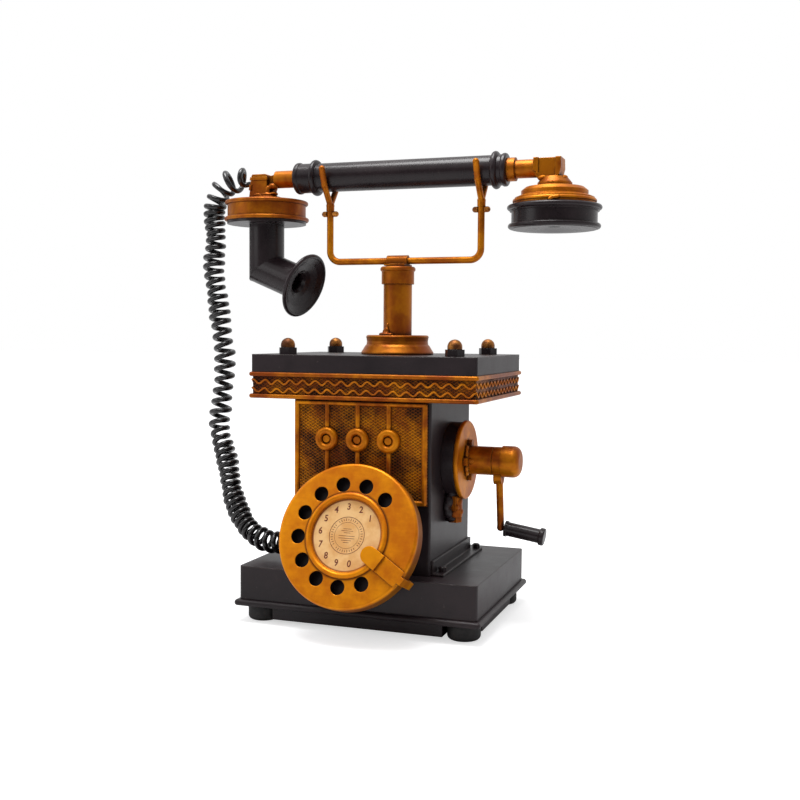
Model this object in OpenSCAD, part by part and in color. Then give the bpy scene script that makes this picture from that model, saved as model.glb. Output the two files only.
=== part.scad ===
// Desk telephone with a cradle handset, a rotary dial and a crank magneto.
// The front faces -Y, the crank and receiver are on the +X side, the feet stand on z = 0.

/* [Base] */
// Width of the base box
base_w = 133.4; // [110:0.2:160]
// Depth of the base box
base_d = 102.6; // [90:0.2:130]
// Height of the base top above the table
base_top = 30.4; // [24:0.2:40]
// Height of the base box itself
base_h = 18.2; // [12:0.2:24]
// Diameter of the bead round the bottom plate
rim_d = 3.4; // [2:0.2:5]
// Diameter of a foot
foot_d = 17.5; // [12:0.5:24]

/* [Body] */
// Width of the column
body_w = 76.4; // [60:0.2:90]
// Depth of the column
body_d = 73; // [60:0.5:85]
// How far the column front stands behind the base centre line
body_front = 40; // [34:0.5:48]
// Wall of the column
body_wall = 2.6; // [1.5:0.1:4]
// Bottom edge of the front panel
panel_z0 = 67.4; // [60:0.2:80]
// Diameter of the beads round the panel
panel_bead = 2.8; // [2:0.1:4]
// Distance between the three panel bars
bar_pitch = 17.4; // [14:0.1:22]
// Sideways place of the middle bar
bar_x = -1.9; // [-6:0.1:6]
// Height of the ring bosses
ring_z = 100.6; // [92:0.2:110]
// Outer diameter of a ring boss
ring_d = 12.8; // [10:0.1:15]
// Diameter of a line button
button_d = 4.5; // [3:0.1:6]
// Height of the strips at the foot of the column
skirt_h = 8; // [4:0.5:12]

/* [Top] */
// Width of the top slab
slab_w = 126.6; // [110:0.2:140]
// Depth of the top slab
slab_d = 94.3; // [80:0.1:110]
// Thickness of the top slab
slab_h = 9.5; // [6:0.1:14]
// Backward shift of the slab centre
slab_y = 3.55; // [-5:0.05:8]
// Height of the slab top above the table
slab_top = 145; // [130:0.5:165]
// Height of the ornamental band
trim_h = 14.2; // [10:0.2:20]
// Diameter of the band beads
trim_bead = 2.4; // [1.6:0.1:3.5]
// Width across flats of the black nuts
nut_af = 9.2; // [7:0.1:12]
// Diameter of the brass domes
dome_d = 7.8; // [6:0.1:10]

/* [Cradle] */
// Sideways place of the post
post_x = 4.2; // [-5:0.1:8]
// Outer diameter of the post
post_d = 15.9; // [12:0.1:20]
// Diameter of the lower flange ring
flange_d = 40.6; // [32:0.2:48]
// Diameter of the collar
collar_d = 18.2; // [15:0.1:24]
// Diameter of the cradle rod
rod_d = 3.75; // [3:0.05:5]
// Height of the horizontal cradle rod
rod_z = 197.1; // [185:0.1:210]
// Left upright of the cradle
fork_x0 = -36.9; // [-50:0.1:-25]
// Right upright of the cradle
fork_x1 = 51.9; // [35:0.1:60]
// Radius of the rod bends
bend_r = 6; // [4:0.5:10]
// Diameter of the hook plunger
plunger_d = 5.1; // [4:0.1:6]

/* [Dial] */
// Radius of the finger wheel
wheel_r = 37.55; // [30:0.05:45]
// Radius of the circle the finger holes sit on
hole_ring = 26.45; // [20:0.05:32]
// Diameter of a finger hole
hole_d = 7.7; // [6:0.1:12]
// Radius of the paper card
card_r = 18.7; // [14:0.1:22]
// Backward lean of the dial
dial_lean = 20.7; // [0:0.1:30]
// Angle of the first finger hole
hole_first = 46.5; // [30:0.1:60]
// Angle between finger holes
hole_step = 27.69; // [24:0.01:30]
// Angle of the finger stop
stop_angle = -33; // [-60:1:-10]
// Width of the finger stop
stop_w = 9; // [5:0.5:12]

/* [Crank] */
// Height of the crank axis
crank_z = 88.2; // [75:0.1:100]
// Fore and aft place of the crank axis
crank_y = -3; // [-10:0.1:10]
// Diameter of the magneto drum face
drum_d = 43; // [34:0.5:50]
// Diameter of the bearing neck
neck_d = 15.5; // [12:0.1:20]
// Diameter of the crank arm
arm_d = 3.8; // [3:0.1:5]
// Reach of the crank arm
arm_reach = 35.7; // [25:0.1:37]
// Diameter of the grip
grip_d = 7.6; // [6:0.1:10]
// Downward lean of the grip
grip_lean = 9; // [0:0.5:15]

/* [Handset] */
// Height of the handle axis
hand_z = 244.9; // [230:0.1:260]
// Fore and aft place of the handset and the post
hand_y = 3; // [-5:0.1:8]
// Diameter of the handle tube
hand_d = 16.2; // [13:0.1:20]
// Diameter of the bead rings at the handle ends
bead_d = 20.3; // [17:0.1:24]
// Sideways place of the transmitter
mic_x = -77; // [-90:0.5:-65]
// Radius of the transmitter case rim
mic_r = 24.4; // [20:0.1:28]
// Sideways place of the receiver
ear_x = 91.9; // [80:0.1:100]
// Radius of the receiver rim
ear_r = 25.05; // [20:0.05:28]
// Outer diameter of the mouthpiece elbow
elbow_d = 20.3; // [16:0.1:24]
// Downward lean of the mouthpiece
mouth_lean = 21; // [0:0.5:35]
// Turn of the mouthpiece towards the front
mouth_turn = -9.5; // [-25:0.5:10]
// Diameter of the mouthpiece flare
flare_d = 37.7; // [30:0.1:44]

/* [Cord] */
// Outer diameter of the curled cord
cord_d = 12.4; // [9:0.1:16]

/* [Hidden] */
$fn = 48;
base_z = base_top - base_h;
foot_h = base_z - rim_d;
body_y = body_d / 2 - body_front;
slab_z = slab_top - slab_h;
trim_z = slab_z - trim_h;
nut_x = 47.6;
nut_y0 = -30.3;
nut_y1 = 37.3;
dial_pos = [2.4, -67.3, 54.8];
play = 0.35;
mouth_z = 193.7;
fork_gap = hand_d / 2 + 1.7 + play;
fork_z = hand_z - 16;
fork_lean = asin(fork_gap / 16);
collar_top = 193.9;
pulse_off = 18.6;
frame_x = -7.75;
frame_y = 13.5;
black = "#2b2728";
gold = "#c07a16";
brass = "#a8772c";
steel = "#8a8a8c";

// Cord route from the handset to the column, round numbers in the column frame
cord_route = [
    [-86, 3, 243], [-97, 4, 246], [-107, 5, 241], [-113, 6, 229], [-112, 6, 212],
    [-113, 5, 195], [-110, 4, 178], [-107, 3, 160], [-104, 2, 139], [-105, 0, 117],
    [-105, -3, 100], [-97, -8, 81], [-90, -14, 62], [-79, -20, 47], [-66, -25, 40.5],
    [-54, -28, 39.5], [-44, -29, 39.5]
];

// Shared helpers

module place() translate([frame_x, frame_y, 0]) children();

module block(w, d, h, r) linear_extrude(h) {
    square([w - 2 * r, d], center = true);
    square([w, d - 2 * r], center = true);
    for (x = [-1, 1], y = [-1, 1])
        translate([x * (w / 2 - r), y * (d / 2 - r)]) circle(r);
}

module rod(a, b, d) {
    v = b - a;
    translate(a) rotate([0, acos(v[2] / norm(v)), atan2(v[1], v[0])]) cylinder(h = norm(v), d = d);
}

module bead_loop(hx, hy, d) {
    for (s = [-1, 1]) {
        rod([-hx, s * hy, 0], [hx, s * hy, 0], d);
        rod([s * hx, -hy, 0], [s * hx, hy, 0], d);
        for (t = [-1, 1]) translate([s * hx, t * hy, 0]) sphere(d = d);
    }
}

module gear(teeth, r_root, r_tip, tooth, h) linear_extrude(h) {
    circle(r_root);
    for (i = [0 : teeth / 2 - 1]) rotate(i * 360 / teeth) square([2 * r_tip, tooth], center = true);
}

module ring(r_out, r_in, h) difference() {
    cylinder(r = r_out, h = h);
    translate([0, 0, -1]) cylinder(r = r_in, h = h + 2);
}

module round_disc(r, h, e) rotate_extrude() {
    square([r - e, h]);
    translate([0, e]) square([r, h - 2 * e]);
    translate([r - e, e]) circle(e);
    translate([r - e, h - e]) circle(e);
}

module from_front(x, z) translate([x, -body_front, z]) rotate([90, 0, 0]) children();

module from_right() translate([body_w / 2, crank_y, crank_z]) rotate([0, 90, 0]) children();

module dial_place() translate(dial_pos) rotate([90 - dial_lean, 0, 0]) children();

module at_mic() translate([mic_x, hand_y, 0]) children();

module at_ear() translate([ear_x, hand_y, 0]) children();

module mouth_place() translate([mic_x, hand_y, mouth_z]) rotate([0, 0, mouth_turn]) children();

module mouth_axis() mouth_place() rotate([0, 90 + mouth_lean, 0]) children();

module at_post() translate([post_x, hand_y, 0]) children();

module at_nuts() for (x = [-1, 1], y = [nut_y0, nut_y1]) translate([x * nut_x, y, 0]) children();

module at_buttons() for (i = [-1, 0, 1]) from_front(bar_x + i * bar_pitch, ring_z) children();

module at_screws() for (p = [[1, -30], [1, 37], [-1, -14], [-1, 37]])
    translate([p[0] * 42, p[1], base_top]) children();

function unit(v) = v / norm(v);

function knot(p, i) = p[max(0, min(len(p) - 1, i))];

function curve(a, b, c, d, t) = 0.5 * (2 * b + (c - a) * t
    + (2 * a - 5 * b + 4 * c - d) * t * t + (3 * b - a - 3 * c + d) * t * t * t);

function smooth_path(p, n) = concat([for (i = [0 : len(p) - 2], k = [0 : n - 1])
    curve(knot(p, i - 1), knot(p, i), knot(p, i + 1), knot(p, i + 2), k / n)], [p[len(p) - 1]]);

function heading(p, i, a, b) = i == 0 ? a : i == len(p) - 1 ? b : unit(p[i + 1] - p[i - 1]);

function side_of(t, ref) = unit(cross(t, ref));

module tube_along(p, r, n, a, b, ref) {
    last = len(p) - 1;
    points = [for (i = [0 : last], j = [0 : n - 1])
        let (t = heading(p, i, a, b), u = side_of(t, ref), v = cross(t, u))
        p[i] + r * (cos(j * 360 / n) * u + sin(j * 360 / n) * v)];
    upper = [for (i = [0 : last - 1], j = [0 : n - 1])
        [(i + 1) * n + j, (i + 1) * n + (j + 1) % n, i * n + (j + 1) % n]];
    lower = [for (i = [0 : last - 1], j = [0 : n - 1])
        [(i + 1) * n + j, i * n + (j + 1) % n, i * n + j]];
    polyhedron(points, concat(upper, lower, [[for (j = [0 : n - 1]) j]],
        [[for (j = [n - 1 : -1 : 0]) last * n + j]]));
}

// Base

module base_pan() color(black) place() difference() {
    translate([0, 0, base_z]) block(base_w, base_d, base_h, 2);
    translate([0, 0, base_z - 1]) block(base_w - 6, base_d - 6, base_h - 2, 1);
    translate([-14, 16, base_top - 5]) cube([28, 12, 10]);
    at_screws() translate([0, 0, -4]) cylinder(d = 2.4, h = 5);
}

module plinth(e) for (b = [[47.8, base_d / 2 - 2.5], [base_w / 2 - 2.5, 30.8]])
    translate([e - b[0], e - b[1], 2 - e]) cube([2 * (b[0] - e), 2 * (b[1] - e), foot_h - 2 + e]);

module bottom_plate() color(black) place() difference() {
    union() {
        translate([0, 0, foot_h]) block(base_w + 1.2, base_d + 1.2, rim_d, 1);
        translate([0, 0, foot_h + rim_d / 2]) bead_loop(base_w / 2 + 0.6, base_d / 2 + 0.6, rim_d);
        plinth(0);
    }
    plinth(3);
    for (x = [-1, 1], i = [0 : 7]) translate([x * 21.5, -12, foot_h - 1]) rotate(i * 45)
        translate([10, 0]) cylinder(d = 3, h = rim_d + 2);
}

module feet() color("#1c1a1b") place() for (x = [-57, 57], y = [-40, 40]) translate([x, y, 0]) {
    rotate_extrude() {
        square([foot_d / 2 - 2.4, foot_h]);
        translate([0, 2.4]) square([foot_d / 2, foot_h - 2.4]);
        translate([foot_d / 2 - 2.4, 2.4]) circle(2.4);
    }
}

// Column

module body_case() color(black) place() difference() {
    translate([0, body_y, base_top]) block(body_w, body_d, slab_z - base_top, 1);
    translate([0, body_y, base_top - 1])
        block(body_w - 2 * body_wall, body_d - 2 * body_wall, slab_z - base_top + 2, 0.5);
    dial_place() translate([0, 0, -50]) cylinder(d = 9, h = 30);
    at_buttons() translate([0, 0, -6]) cylinder(d = button_d + 2 * play, h = 8);
    from_right() translate([0, 0, -6]) cylinder(d = 10, h = 8);
    translate([-body_w / 2 - 1, -29, 39.5]) rotate([0, 90, 0]) cylinder(d = 5, h = 8);
}

module body_skirt() color(black) place() difference() {
    union() {
        translate([-45, -38, base_top]) cube([90, 77.8, 1.3]);
        translate([-body_w / 2 - 1.2, -38, base_top]) cube([body_w + 2.4, 72.2, skirt_h]);
    }
    translate([-body_w / 2, -50, base_top - 1]) cube([body_w, 83, 12]);
    translate([-60, -29, 39.5]) rotate([0, 90, 0]) cylinder(d = 10.6, h = 30);
    at_screws() translate([0, 0, -1]) cylinder(d = 2.8, h = 12);
}

module skirt_screws() color("#1c1a1b") place() at_screws() {
    translate([0, 0, 1.3]) cylinder(d = 4.5, h = 2.2, $fn = 6);
    translate([0, 0, 3.5]) cylinder(d1 = 3.6, d2 = 2.6, h = 0.5);
    translate([0, 0, -3]) cylinder(d = 2.3, h = 4.3);
}

module front_panel() color(gold) place() difference() {
    union() {
        translate([-body_w / 2, -body_front - 1.2, panel_z0])
            cube([74.8, 1.2, trim_z - panel_z0]);
        for (x = [-body_w / 2 + 1.4, 35.2])
            rod([x, -body_front - 1.2, panel_z0 + 1.4], [x, -body_front - 1.2, trim_z - 1.4], panel_bead);
        for (z = [panel_z0 + 1.4, trim_z - 1.4])
            rod([-body_w / 2 + 1.4, -body_front - 1.2, z], [35.2, -body_front - 1.2, z], panel_bead);
        for (x = [-body_w / 2 + 1.4, 35.2], z = [panel_z0 + 1.4, trim_z - 1.4])
            translate([x, -body_front - 1.2, z]) sphere(d = panel_bead);
        for (i = [-1, 0, 1]) translate([bar_x + i * bar_pitch, 0, 0])
            rod([0, -body_front - 1.2, panel_z0 + 1], [0, -body_front - 1.2, trim_z - 1], 2.7);
    }
    translate([-50, -body_front, 50]) cube([100, 10, 100]);
    at_buttons() {
        translate([0, 0, 1.2]) cylinder(d = ring_d, h = 8);
        translate([0, 0, -1]) cylinder(d = button_d + 2 * play, h = 8);
    }
}

module ring_bosses() color(gold) place() at_buttons() translate([0, 0, 1.2]) rotate_extrude() difference() {
    union() {
        translate([button_d / 2 + play, 0]) square([ring_d / 2 - 0.05 - button_d / 2 - play, 1.3]);
        translate([(ring_d / 2 - 0.05 + button_d / 2 + play) / 2, 1.3])
            circle((ring_d / 2 - 0.05 - button_d / 2 - play) / 2);
    }
    translate([0, -5]) square([12, 5]);
}

module button(x) from_front(x, ring_z) {
    translate([0, 0, -3.6]) cylinder(d = button_d, h = 6);
    translate([0, 0, 2.4]) cylinder(d1 = button_d, d2 = button_d - 0.8, h = 0.4);
    translate([0, 0, -4.2]) cylinder(d = 8, h = 1.2);
    translate([0, 0, -6.4]) cylinder(d = 3, h = 2.2);
}

module line_button_1() color(brass) place() button(bar_x - bar_pitch);

module line_button_2() color(brass) place() button(bar_x);

module line_button_3() color(brass) place() button(bar_x + bar_pitch);

// Top

module cornice_trim() color(gold) place() difference() {
    union() {
        translate([0, slab_y, trim_z]) block(slab_w - 1.2, slab_d - 1.2, trim_h, 0.5);
        for (z = [trim_z + 1.2, slab_z - 1.2])
            translate([0, slab_y, z]) bead_loop(slab_w / 2 - 0.1, slab_d / 2 - 0.1, trim_bead);
    }
    translate([0, body_y, trim_z - 1]) block(body_w, body_d, trim_h + 2, 1);
    at_nuts() translate([0, 0, trim_z + 4]) cylinder(d = 4, h = trim_h);
}

module top_slab() color(black) place() difference() {
    translate([0, slab_y, slab_z]) block(slab_w, slab_d, slab_h, 1.2);
    at_nuts() translate([0, 0, slab_z - 1]) cylinder(d = 4, h = slab_h + 2);
    at_post() translate([0, 0, slab_z - 1]) cylinder(d = plunger_d + 2 * play, h = slab_h + 2);
}

module stud_nuts() color("#1c1a1b") place() at_nuts() translate([0, 0, slab_top]) difference() {
    cylinder(d = nut_af / cos(30), h = 3.6, $fn = 6);
    translate([0, 0, -1]) cylinder(d = 4, h = 6);
}

module acorn_caps() color(brass) place() at_nuts() {
    translate([0, 0, trim_z + 4]) cylinder(d = 3.8, h = slab_top + 3.6 - trim_z - 4);
    translate([0, 0, slab_top + 3.6]) {
        cylinder(d = dome_d, h = 1.4);
        translate([0, 0, 1.4]) intersection() {
            sphere(d = dome_d);
            cylinder(d = dome_d + 2, h = dome_d);
        }
    }
}

module post_flange() color(gold) place() at_post() translate([0, 0, slab_top]) difference() {
    rotate_extrude() polygon([[0, 0], [flange_d / 2 - 0.4, 0], [flange_d / 2, 0.5], [flange_d / 2 - 0.1, 1.3],
        [19, 3.2], [18.2, 4.6], [17.3, 5.6], [17.1, 7.4], [17.4, 9.2], [17.6, 9.8], [17.2, 10.5], [16.4, 10.8],
        [0, 10.8]]);
    translate([0, 0, -1]) cylinder(d = plunger_d + 2 * play, h = 13);
}

module cradle_post() color(gold) place() at_post() translate([0, 0, slab_top + 10.8])
    ring(post_d / 2, 5, 184.2 - slab_top - 10.8);

module post_collar() color(gold) place() at_post() translate([0, 0, 184.2]) difference() {
    union() {
        cylinder(d = collar_d, h = 7);
        translate([0, 0, 6.8]) round_disc(9.85, collar_top - 191, 1.4);
    }
    translate([0, 0, -1]) cylinder(d = plunger_d + 2 * play, h = 14);
}

// Cradle

module fork() {
    for (s = [-1, 1]) {
        knee = [0, s * 13.8 * sin(fork_lean), 13.8 * cos(fork_lean)];
        tip = [0, s * 12.4, 19.2];
        rod([0, 0, 0], knee, 3.4);
        rod(knee, tip, 3.4);
        translate(knee) sphere(d = 3.6);
        translate(tip) sphere(d = 3.6);
    }
    sphere(d = rod_d + 1);
}

module bend() rotate([90, 0, 0]) rotate_extrude(angle = 90) translate([bend_r, 0]) circle(d = rod_d);

module cradle_yoke() color(gold) place() translate([0, hand_y, 0]) difference() {
    union() {
        rod([fork_x0 + bend_r, 0, rod_z], [fork_x1 - bend_r, 0, rod_z], rod_d);
        translate([fork_x0 + bend_r, 0, rod_z + bend_r]) rotate([0, 180, 0]) bend();
        translate([fork_x1 - bend_r, 0, rod_z + bend_r]) rotate([0, 90, 0]) bend();
        for (x = [fork_x0, fork_x1])
            rod([x, 0, rod_z + bend_r], [x, 0, fork_z - 3], rod_d);
    }
    for (x = [fork_x0, fork_x1]) translate([x - 5, 0, fork_z - 4.7]) rotate([0, 90, 0])
        cylinder(d = 1.6, h = 10);
}

module cradle_forks() color(gold) place() for (x = [fork_x0, fork_x1])
    translate([x, hand_y, fork_z]) difference() {
        union() {
            fork();
            translate([0, 0, -3]) cylinder(d = rod_d + 0.8, h = 3);
        }
        translate([0, 0, -8]) cylinder(d = 8, h = 5);
    }

module fork_rivets() color(brass) place() translate([0, hand_y, fork_z - 4.7])
    for (x = [fork_x0, fork_x1]) translate([x, 0, 0]) rotate([0, 90, 0]) {
        translate([0, 0, -rod_d / 2]) cylinder(d = 1.6, h = rod_d);
        for (s = [-1, 1]) translate([0, 0, s * (rod_d / 2 + 0.8)]) {
            cylinder(d = 3.2, h = 1.6, center = true);
            translate([0, 0, s * 0.8]) sphere(d = 3.2);
        }
    }

module cradle_saddle() color(gold) place() at_post() difference() {
    union() {
        translate([-6, -6.5, collar_top + play]) cube([12, 13, rod_z - rod_d / 2 - collar_top - play]);
        translate([-6, 0, rod_z]) rotate([0, 90, 0]) cylinder(r = rod_d / 2 + 1.3, h = 12);
        translate([-6, -rod_d / 2 - 1.3, collar_top + play]) cube([12, rod_d + 2.6, rod_z - collar_top - play]);
    }
    translate([-8, 0, rod_z]) rotate([0, 90, 0]) cylinder(d = rod_d + 0.1, h = 16);
    translate([0, 0, collar_top]) cylinder(d = 3.2, h = 1.05);
    translate([-10, -10, 180]) cube([20, 20, collar_top + play - 180]);
}

module hook_plunger() color(steel) place() at_post() {
    translate([0, 0, 112]) cylinder(d = 12, h = 1.6);
    translate([0, 0, 112]) cylinder(d = plunger_d, h = collar_top + play - 112.1);
    difference() {
        translate([0, 0, 150]) cylinder(d = 2.6, h = collar_top + play + 0.5 - 150);
        translate([-8, 0, rod_z]) rotate([0, 90, 0]) cylinder(d = rod_d, h = 16);
    }
}

module hook_spring() color(steel) place() at_post() translate([0, 0, 105.9]) tube_along(
    [for (k = [0 : 60]) [4.2 * cos(k * 30), 4.2 * sin(k * 30), 0.4 + k * 4.9 / 60]],
    0.4, 8, [0, 1, 0], [0, 1, 0], [0, 0, 1]);

module hook_switch() color("#6b3d1e") place() {
    inner = body_d - body_front - body_wall;
    translate([-4, -6, 104]) cube([16, inner + 6, 1.6]);
    translate([-4, 22, 105.6]) cube([16, inner - 22, 19.6]);
    for (z = [118.2, 120.6, 123]) translate([0, 7, z]) cube([8, 15, 0.5]);
}

// Dial

module finger_wheel() color(gold) place() dial_place() difference() {
    union() {
        rotate_extrude() {
            translate([0, -3]) square([wheel_r - 1.6, 3]);
            translate([wheel_r - 3.2, -1.6]) square([3.2, 0.1]);
            translate([wheel_r - 1.6, -1.6]) circle(1.6);
            translate([wheel_r - 2, -9]) square([2, 7.4]);
            translate([20.6, 0]) circle(1.5);
        }
    }
    for (i = [0 : 9]) rotate(hole_first + i * hole_step) translate([hole_ring, 0, -5])
        cylinder(d = hole_d, h = 10);
    translate([0, 0, -1.2]) cylinder(r = card_r, h = 6);
    translate([0, 0, -5]) cylinder(d = 4, h = 6);
}

module dial_card() color("#e8c69a") place() dial_place() translate([0, 0, -1.2])
    cylinder(r = card_r - 0.1, h = 0.5);

module dial_shaft() color(brass) place() dial_place() {
    translate([0, 0, -17]) cylinder(d = 4, h = 15.8);
    translate([0, 0, -5.4]) cylinder(d = 9, h = 2.4);
    translate([0, 0, -10.4]) gear(36, 13.1, 14, 1.1, 1.4);
}

module pulse_wheel() color(brass) place() dial_place() rotate(200) translate([pulse_off, 0, 0]) {
    translate([0, 0, -12.5]) cylinder(d = 2.2, h = 4.9);
    translate([0, 0, -10.4]) gear(10, 3.4, 4.2, 1.1, 1.4);
    translate([0, 0, -8.4]) gear(4, 2.8, 4.8, 1.6, 0.8);
}

module dial_spring() color(steel) place() dial_place() translate([0, 0, -12.5]) for (k = [0 : 5])
    translate([k % 2 == 0 ? 0 : 0.6, 0, 0]) rotate(k % 2 == 0 ? 0 : 180)
        rotate_extrude(angle = 180) translate([3.2 + k * 0.6, 0]) square([0.3, 1.4]);

module dial_case() color("#1c1a1b") place() dial_place() difference() {
    translate([0, 0, -14.6]) cylinder(r = 32, h = 7.4);
    translate([0, 0, -12.9]) cylinder(r = 30.2, h = 12);
    translate([0, 0, -16]) cylinder(d = 4.8, h = 6);
}

module dial_plate() color("#1c1a1b") place() dial_place() translate([0, 0, -7.2])
    ring(32, 5.2, 1.3);

module finger_stop() color(gold) place() dial_place() rotate(stop_angle) difference() {
    union() {
        translate([17.5, 0, 1.9]) linear_extrude(1.4) {
            translate([0, -stop_w / 2]) square([6.7, stop_w]);
            circle(d = stop_w);
        }
        translate([22.7, -stop_w / 2, 0.5]) cube([1.5, stop_w, 2.8]);
        translate([23, -stop_w / 2, 0.5]) cube([14.4, stop_w, 1.4]);
        translate([37, -2, 0.5]) cube([2.3, 4, 1.4]);
        translate([38.1, -2, -14.6]) cube([1.2, 4, 16.5]);
        translate([28, -2, -14.6]) cube([11.3, 4, 1.6]);
    }
    translate([0, 0, -16]) cylinder(r = 32, h = 10);
}

module dial_stem() color(black) place() intersection() {
    dial_place() translate([0, 0, -40]) ring(12.5, 5, 25.4);
    translate([-50, -100 - body_front, 0]) cube([100, 100, 100]);
}

// Crank and magneto

module crank_drum() color(black) place() from_right() ring(drum_d / 2 - 1, 17, 7);

module drum_face() color(gold) place() from_right() translate([0, 0, 7]) difference() {
    round_disc(drum_d / 2, 2.6, 1.1);
    translate([0, 0, -1]) cylinder(d = 5.8, h = 5);
}

module drum_lug() color(gold) place() translate([body_w / 2, crank_y - 6, crank_z]) difference() {
    union() {
        translate([0, -5, -27]) cube([6, 10, 8]);
        translate([4, 0, -30.5]) cylinder(d = 8.4, h = 10);
        translate([4, 0, -20.5]) sphere(d = 8.4);
        translate([4, 0, -33.5]) cylinder(d = 8, h = 3.2, $fn = 6);
    }
    translate([-1, 6, 0]) rotate([0, 90, 0]) cylinder(r = drum_d / 2 - 1, h = 9);
    translate([6.9, 6, 0]) rotate([0, 90, 0]) cylinder(r = drum_d / 2 + 0.1, h = 4);
    translate([-6, -10, -40]) cube([6, 20, 30]);
}

module bearing_neck() color(gold) place() from_right() translate([0, 0, 9.6]) difference() {
    union() {
        cylinder(d = neck_d, h = 14.7);
        for (a = [0 : 90 : 270]) rotate(a) translate([6, -2, 0]) cube([5, 4, 2.6]);
        translate([0, 0, 0]) cylinder(d = neck_d + 2, h = 1.4);
    }
    translate([0, 0, -1]) cylinder(d = 5.8, h = 17);
}

module grip_place() translate([66.9, crank_y - 1.5, crank_z - arm_reach]) rotate([0, 90 + grip_lean, 0])
    children();

module crank_arm() color(gold) place() difference() {
    union() {
        translate([62.8, crank_y, crank_z]) rotate([0, 90, 0]) cylinder(d = neck_d, h = 4.6);
        translate([62.9, crank_y, crank_z - 8.6]) rotate([0, 90, 0]) cylinder(d = 8, h = 4.4);
        rod([65.3, crank_y, crank_z - 5], [66.9, crank_y - 1.5, crank_z - arm_reach], arm_d);
        translate([66.9, crank_y - 1.5, crank_z - arm_reach]) sphere(d = arm_d + 0.4);
        grip_place() cylinder(d = 2.4, h = 23.6);
    }
    translate([61, crank_y, crank_z]) rotate([0, 90, 0]) cylinder(d = 5, h = 5);
}

module crank_cap() color(gold) place() translate([67.4, crank_y, crank_z]) rotate([0, 90, 0])
    rotate_extrude() {
        square([4.5, 9.8]);
        square([8.5, 5.8]);
        translate([4.5, 5.8]) circle(4);
    }

module crank_grip() color(black) place() grip_place() difference() {
    union() {
        translate([0, 0, 2.5]) cylinder(d = grip_d + 1, h = 1.4);
        translate([0, 0, 3.9]) cylinder(d = grip_d, h = 17.6);
        translate([0, 0, 21.5]) round_disc(4.7, 2.9, 0.8);
    }
    translate([0, 0, 1]) cylinder(d = 2.4 + 2 * play, h = 23);
}

module crank_shaft() color(steel) place() translate([0, crank_y, crank_z]) rotate([0, 90, 0]) {
    translate([0, 0, -28]) cylinder(d = 5, h = 94);
    translate([0, 0, 8]) gear(40, 14.1, 15, 1.1, 3);
}

module magneto_armature() color("#7a4a20") place() translate([0, crank_y, crank_z - 19.8])
    rotate([0, 90, 0]) {
        translate([0, 0, -26]) cylinder(d = 3, h = 40);
        translate([0, 0, 8]) gear(12, 3.6, 4.4, 1.1, 3);
        translate([0, 0, -20]) cylinder(r = 7, h = 23.6);
    }

module magneto_magnets() color("#3b3b40") place() for (x = [-20.2, -12.1, -4]) difference() {
    translate([x, crank_y, crank_z - 19.8]) union() {
        rotate([0, 90, 0]) cylinder(r = 12.6, h = 7.6);
        translate([0, -12.6, -20.4]) cube([7.6, 25.2, 20.4]);
    }
    translate([x - 1, crank_y, crank_z - 19.8]) rotate([0, 90, 0]) cylinder(r = 8, h = 10);
    translate([x - 1, crank_y - 8, crank_z - 41]) cube([10, 16, 21.2]);
}

module magneto_frame() color(steel) place() difference() {
    union() {
        for (x = [-23.4, 4.6]) translate([x, crank_y - 14, base_top]) cube([1.8, 28, 66]);
        translate([-21.6, crank_y - 14, crank_z - 42]) cube([26.2, 28, 1.8]);
    }
    translate([-30, crank_y, crank_z]) rotate([0, 90, 0]) cylinder(d = 5.8, h = 50);
    translate([-30, crank_y, crank_z - 19.8]) rotate([0, 90, 0]) cylinder(d = 3.8, h = 50);
}

// Ringer

module bell_gongs() color(brass) place() for (x = [-21.5, 21.5]) translate([x, -12, 15.6])
    difference() {
        rotate_extrude() {
            square([13, 9]);
            square([17, 5]);
            translate([13, 5]) circle(4);
        }
        rotate_extrude() translate([0, -0.1]) {
            square([12.2, 7.9]);
            square([15.8, 5.1]);
            translate([12.6, 4.6]) circle(3.2);
        }
        cylinder(d = 2.6, h = 20);
    }

module ringer_frame() color(steel) place() {
    translate([-25, -16, base_z]) cube([50, 56, 1.4]);
    for (x = [-21.5, 21.5]) translate([x, -12, base_z + 1.4]) {
        cylinder(d = 5, h = 9.7);
        cylinder(d = 2.5, h = 12.4);
    }
    for (x = [-10, 10]) translate([x, 16, base_z + 7.6]) rotate([-90, 0, 0]) {
        cylinder(d = 12, h = 1.2);
        cylinder(d = 10.6, h = 20);
        translate([0, 0, 18.8]) cylinder(d = 12, h = 1.2);
    }
    translate([-18, 36, base_z]) cube([36, 2, 13.6]);
    translate([0, 12, base_z + 1.4]) cylinder(d = 2, h = 10);
}

module clapper() color(steel) place() translate([0, 12, base_z + 6.6]) difference() {
    union() {
        cylinder(d = 5, h = 2.6);
        translate([-13, -1.2, 0]) cube([26, 2.4, 2.6]);
        rod([0, -2, 1.3], [0, -24, 1.3], 1.4);
        translate([0, -24, 1.3]) sphere(r = 2.7);
    }
    translate([0, 0, -1]) cylinder(d = 2.7, h = 5);
}

// Handset

module along_hand(x) translate([x, hand_y, hand_z]) rotate([0, 90, 0]) children();

module handle_tube() color(black) place() along_hand(-43.1) ring(hand_d / 2, 6, 101);

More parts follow.
